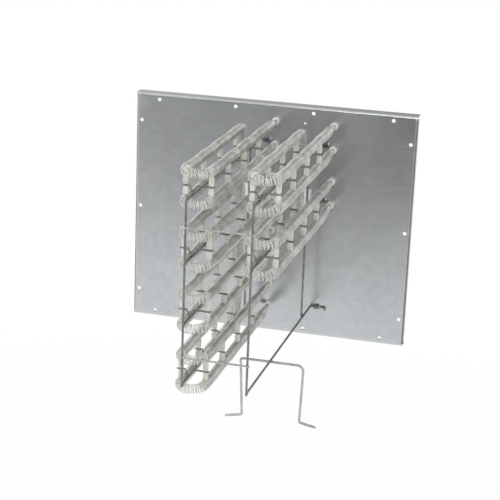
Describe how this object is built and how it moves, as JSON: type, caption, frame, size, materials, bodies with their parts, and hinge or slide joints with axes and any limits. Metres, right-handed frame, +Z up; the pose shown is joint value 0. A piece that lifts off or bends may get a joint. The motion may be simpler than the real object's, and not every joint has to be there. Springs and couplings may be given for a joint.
{
  "type": "electric_heat_kit",
  "caption": "Open-coil electric duct heater kit: banks of nichrome coils on hourglass ceramic insulators, carried by a welded wire rack with a hat-shaped leg on a folded galvanised mounting plate",
  "frame": {"origin": "centre of the air-side face of the mounting plate, on the sheet", "axes": "+X across the plate, to the right seen from the air side; +Y from the air side to the control side; +Z up"},
  "size_m": [0.42, 0.3908, 0.3913],
  "materials": {
    "galvanised_sheet": "satin, spangled zinc",
    "nichrome_wire": "bright warm grey drawn wire",
    "steatite_ceramic": "unglazed, cream white",
    "rack_wire": "mid grey drawn steel",
    "leg_wire": "bright galvanised wire",
    "thermostat_metal": "bright, smooth"
  },
  "bodies": {
    "root": {"left_bushing_1_lower": "steatite_ceramic", "left_bushing_1_upper": "steatite_ceramic", "left_bushing_2_lower": "steatite_ceramic", "left_bushing_2_upper": "steatite_ceramic", "left_bushing_3_lower": "steatite_ceramic", "left_bushing_3_upper": "steatite_ceramic", "left_bushing_4_lower": "steatite_ceramic", "left_bushing_4_upper": "steatite_ceramic", "left_element_1": "nichrome_wire", "left_element_2": "nichrome_wire", "left_element_3": "nichrome_wire", "left_element_4": "nichrome_wire", "left_front_post": "rack_wire", "left_insulators_1_1": "steatite_ceramic", "left_insulators_1_2": "steatite_ceramic", "left_insulators_1_3": "steatite_ceramic", "left_insulators_1_4": "steatite_ceramic", "left_insulators_2_1": "steatite_ceramic", "left_insulators_2_2": "steatite_ceramic", "left_insulators_2_3": "steatite_ceramic", "left_insulators_2_4": "steatite_ceramic", "left_insulators_3_1": "steatite_ceramic", "left_insulators_3_2": "steatite_ceramic", "left_insulators_3_3": "steatite_ceramic", "left_insulators_3_4": "steatite_ceramic", "left_insulators_4_1": "steatite_ceramic", "left_insulators_4_2": "steatite_ceramic", "left_insulators_4_3": "steatite_ceramic", "left_insulators_4_4": "steatite_ceramic", "left_limit_thermostat": "thermostat_metal", "left_rail_1": "rack_wire", "left_rail_2": "rack_wire", "left_rail_3": "rack_wire", "left_rail_4": "rack_wire", "left_rear_post": "rack_wire", "lower_front_bar": "leg_wire", "mounting_plate": "galvanised_sheet", "right_bushing_1_lower": "steatite_ceramic", "right_bushing_1_upper": "steatite_ceramic", "right_bushing_2_lower": "steatite_ceramic", "right_bushing_2_upper": "steatite_ceramic", "right_element_1": "nichrome_wire", "right_element_2": "nichrome_wire", "right_front_post": "rack_wire", "right_insulators_1_1": "steatite_ceramic", "right_insulators_1_2": "steatite_ceramic", "right_insulators_1_3": "steatite_ceramic", "right_insulators_1_4": "steatite_ceramic", "right_insulators_2_1": "steatite_ceramic", "right_insulators_2_2": "steatite_ceramic", "right_insulators_2_3": "steatite_ceramic", "right_insulators_2_4": "steatite_ceramic", "right_limit_thermostat": "thermostat_metal", "right_rail_1": "rack_wire", "right_rail_2": "rack_wire", "right_rail_bottom": "rack_wire", "right_rear_post": "rack_wire", "support_leg": "leg_wire", "upper_front_bar": "leg_wire"}
  },
  "joints": []
}
